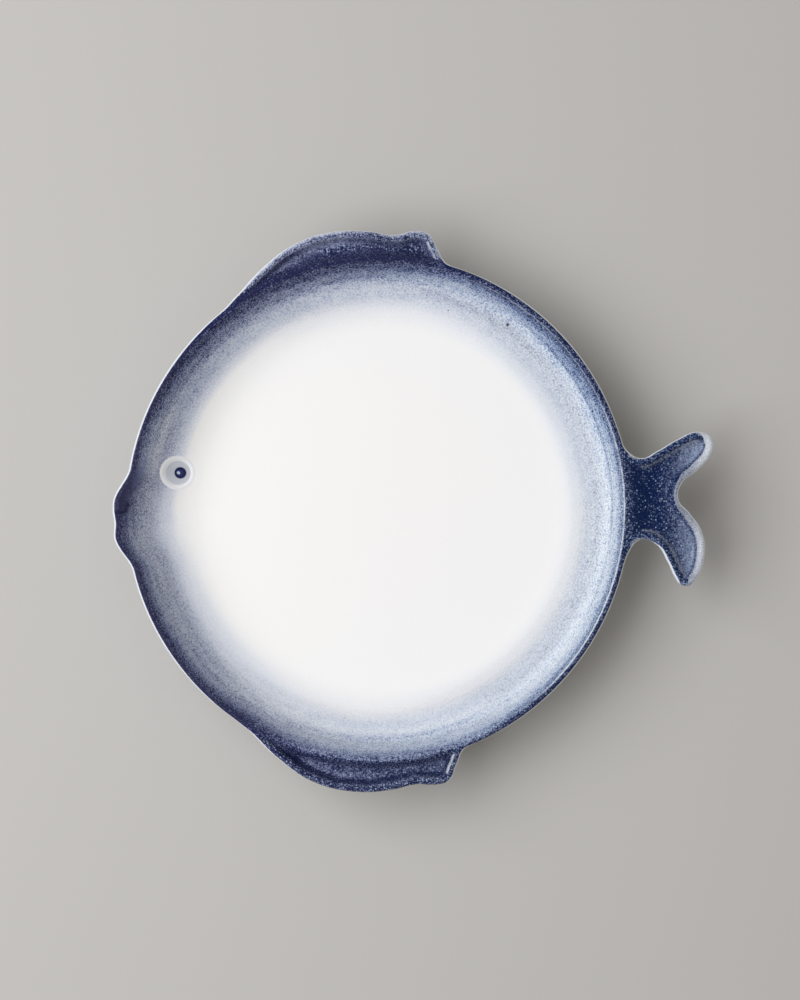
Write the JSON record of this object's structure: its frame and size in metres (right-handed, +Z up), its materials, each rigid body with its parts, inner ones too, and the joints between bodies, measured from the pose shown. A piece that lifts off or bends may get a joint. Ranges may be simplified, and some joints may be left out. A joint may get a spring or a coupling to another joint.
{
  "type": "pasta plate",
  "caption": "Round fish-shaped pasta plate: coved well, snout pulled from the rim, pocketed fins and forked tail, raised eye, glazed white to cobalt, on a bare foot ring.",
  "frame": {"origin": "on the table under the middle of the plate's outline; the upright axis of the round rim stands at x = -15.15 mm, y = +0.45 mm", "axes": "+Z up out of the well, +X from the fish's head to its tail, +Y towards its back fin"},
  "size_m": [0.2694, 0.2517, 0.036],
  "materials": {
    "reactive_glaze": "glossy reactive glaze, white in the well shading to speckled cobalt at the rim",
    "cobalt_glaze": "glossy speckled cobalt glaze",
    "white_glaze": "glossy white glaze",
    "pupil_glaze": "glossy cobalt glaze bead",
    "bare_foot": "bare fired clay, wiped clean of glaze"
  },
  "bodies": {
    "root": {"plate_body": "reactive_glaze", "back_fin": "cobalt_glaze", "belly_fin": "cobalt_glaze", "tail": "cobalt_glaze", "eye_ring": "white_glaze", "eye_pupil": "pupil_glaze", "foot_ring": "bare_foot"}
  },
  "joints": []
}
